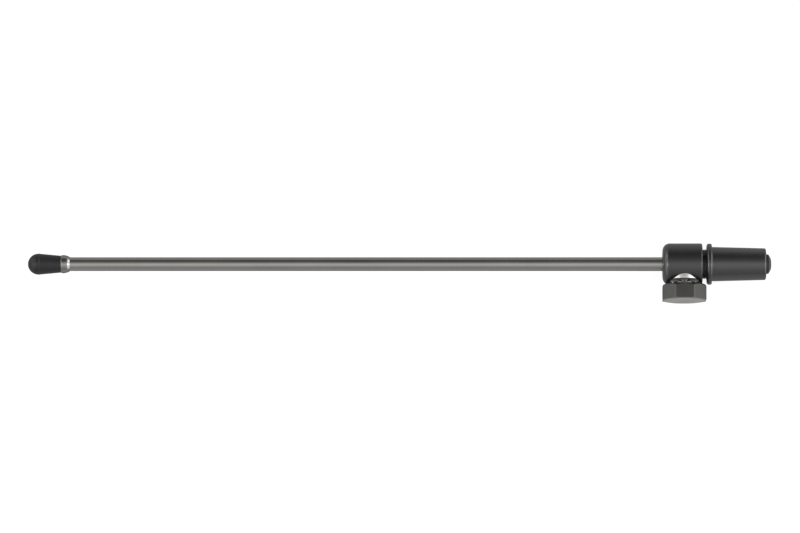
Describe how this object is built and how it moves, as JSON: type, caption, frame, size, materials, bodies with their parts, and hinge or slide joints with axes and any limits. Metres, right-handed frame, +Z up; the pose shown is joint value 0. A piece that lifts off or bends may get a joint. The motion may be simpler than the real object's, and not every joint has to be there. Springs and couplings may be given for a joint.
{
  "type": "cello endpin",
  "caption": "Height-adjustable cello endpin: steel rod with rubber-tipped spike, sliding in a tapered plug and clamped by an octagonal thumb screw in a round collar.",
  "frame": {"origin": "on the rod's axis, in the plane of the flange face that seats against the cello", "axes": "+X along the rod from the floor tip towards the plug's inner end, -Y along the clamp screw from the rod to the knob, +Z up with the endpin on its side"},
  "size_m": [0.5425, 0.0428, 0.0318],
  "materials": {
    "black_metal": "satin black anodised, even sheen",
    "satin_steel": "satin polished, slightly warm grey",
    "plain_steel": "turned, bare",
    "knob_steel": "dark satin plated, fine turning lines",
    "bright_nickel": "bright nickel plate",
    "satin_nickel": "satin nickel plate, fine turning lines",
    "black_steel": "black oxide, satin",
    "brass": "turned",
    "rubber": "matte black moulded rubber",
    "nylon": "natural nylon"
  },
  "bodies": {
    "housing": {"taper_cone": "black_metal", "clamp_collar": "black_metal", "guide_sleeve": "brass", "front_guide_bush": "nylon", "rear_guide_bush": "nylon", "rod_seal_ring": "rubber", "screw_boss": "satin_nickel"},
    "pad": {"pressure_pad": "brass"},
    "thumb_screw": {"thumb_screw_stud": "plain_steel", "thumb_knob": "knob_steel"},
    "stop_rings": {"stop_washer": "black_steel", "stop_damper": "rubber"},
    "rod": {"steel_rod": "satin_steel", "tip_ferrule": "bright_nickel", "spike_holder": "plain_steel", "spike_point": "plain_steel", "stop_screw": "black_steel"},
    "tip": {"rubber_tip": "rubber"}
  },
  "joints": [
    {"name": "rod_slide", "type": "slide", "parent": "housing", "child": "stop_rings", "axis": [1, 0, 0], "range_m": [0, 0.4319]},
    {"name": "rod_turn", "type": "hinge", "parent": "stop_rings", "child": "rod", "pos_m": [0, 0, 0], "axis": [1, 0, 0], "continuous": true},
    {"name": "tip_pull", "type": "slide", "parent": "rod", "child": "tip", "axis": [-1, 0, 0], "range_m": [0, 0.016]},
    {"name": "pad_travel", "type": "slide", "parent": "housing", "child": "pad", "axis": [0, -1, 0], "range_m": [0, 0.00187]},
    {"name": "knob_turn", "type": "hinge", "parent": "pad", "child": "thumb_screw", "pos_m": [-0.02, 0, 0], "axis": [0, -1, 0], "range_deg": [0, 540]}
  ],
  "couplings": [
    {"joint": "knob_turn", "follows": "pad_travel", "rad_per_m": 5026.5}
  ]
}
